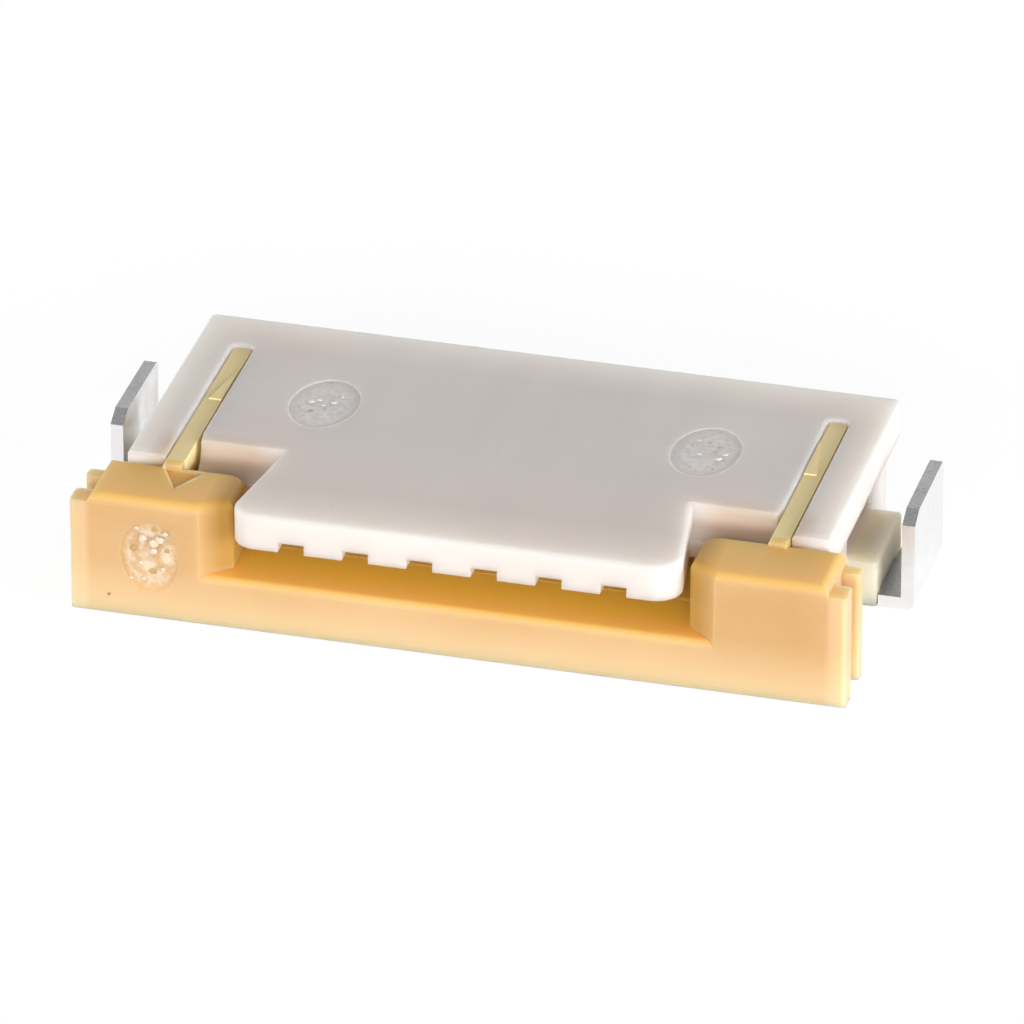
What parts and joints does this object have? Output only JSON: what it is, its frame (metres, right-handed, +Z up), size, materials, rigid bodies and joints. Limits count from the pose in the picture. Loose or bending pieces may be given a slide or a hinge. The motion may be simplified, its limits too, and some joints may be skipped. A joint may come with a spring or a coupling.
{
  "type": "flat flexible cable connector",
  "caption": "Right-angle surface-mount connector for a flat flexible cable, with an ivory housing, a sliding amber lock, fork contacts and side solder nails.",
  "frame": {"origin": "middle of the connector's footprint, on the board plane", "axes": "+X along the row of contacts, +Y from the cable side to the solder tails, +Z up from the board"},
  "size_m": [0.0126, 0.007, 0.0021],
  "materials": {
    "ivory_plastic": "fine satin moulded plastic, slightly translucent",
    "amber_plastic": "satin, honey coloured, translucent",
    "contact_metal": "tin plated, stamped",
    "nail_metal": "dull tin plated sheet with sheared edges"
  },
  "bodies": {
    "base": {"housing": "ivory_plastic", "contact_1": "contact_metal", "contact_2": "contact_metal", "contact_3": "contact_metal", "contact_4": "contact_metal", "contact_5": "contact_metal", "contact_6": "contact_metal", "nail_left": "nail_metal", "nail_right": "nail_metal"},
    "lock": {"slider": "amber_plastic"}
  },
  "joints": [
    {"name": "slider_slide", "type": "slide", "parent": "base", "child": "lock", "axis": [0, -1, 0], "range_m": [0, 0.0011]}
  ]
}
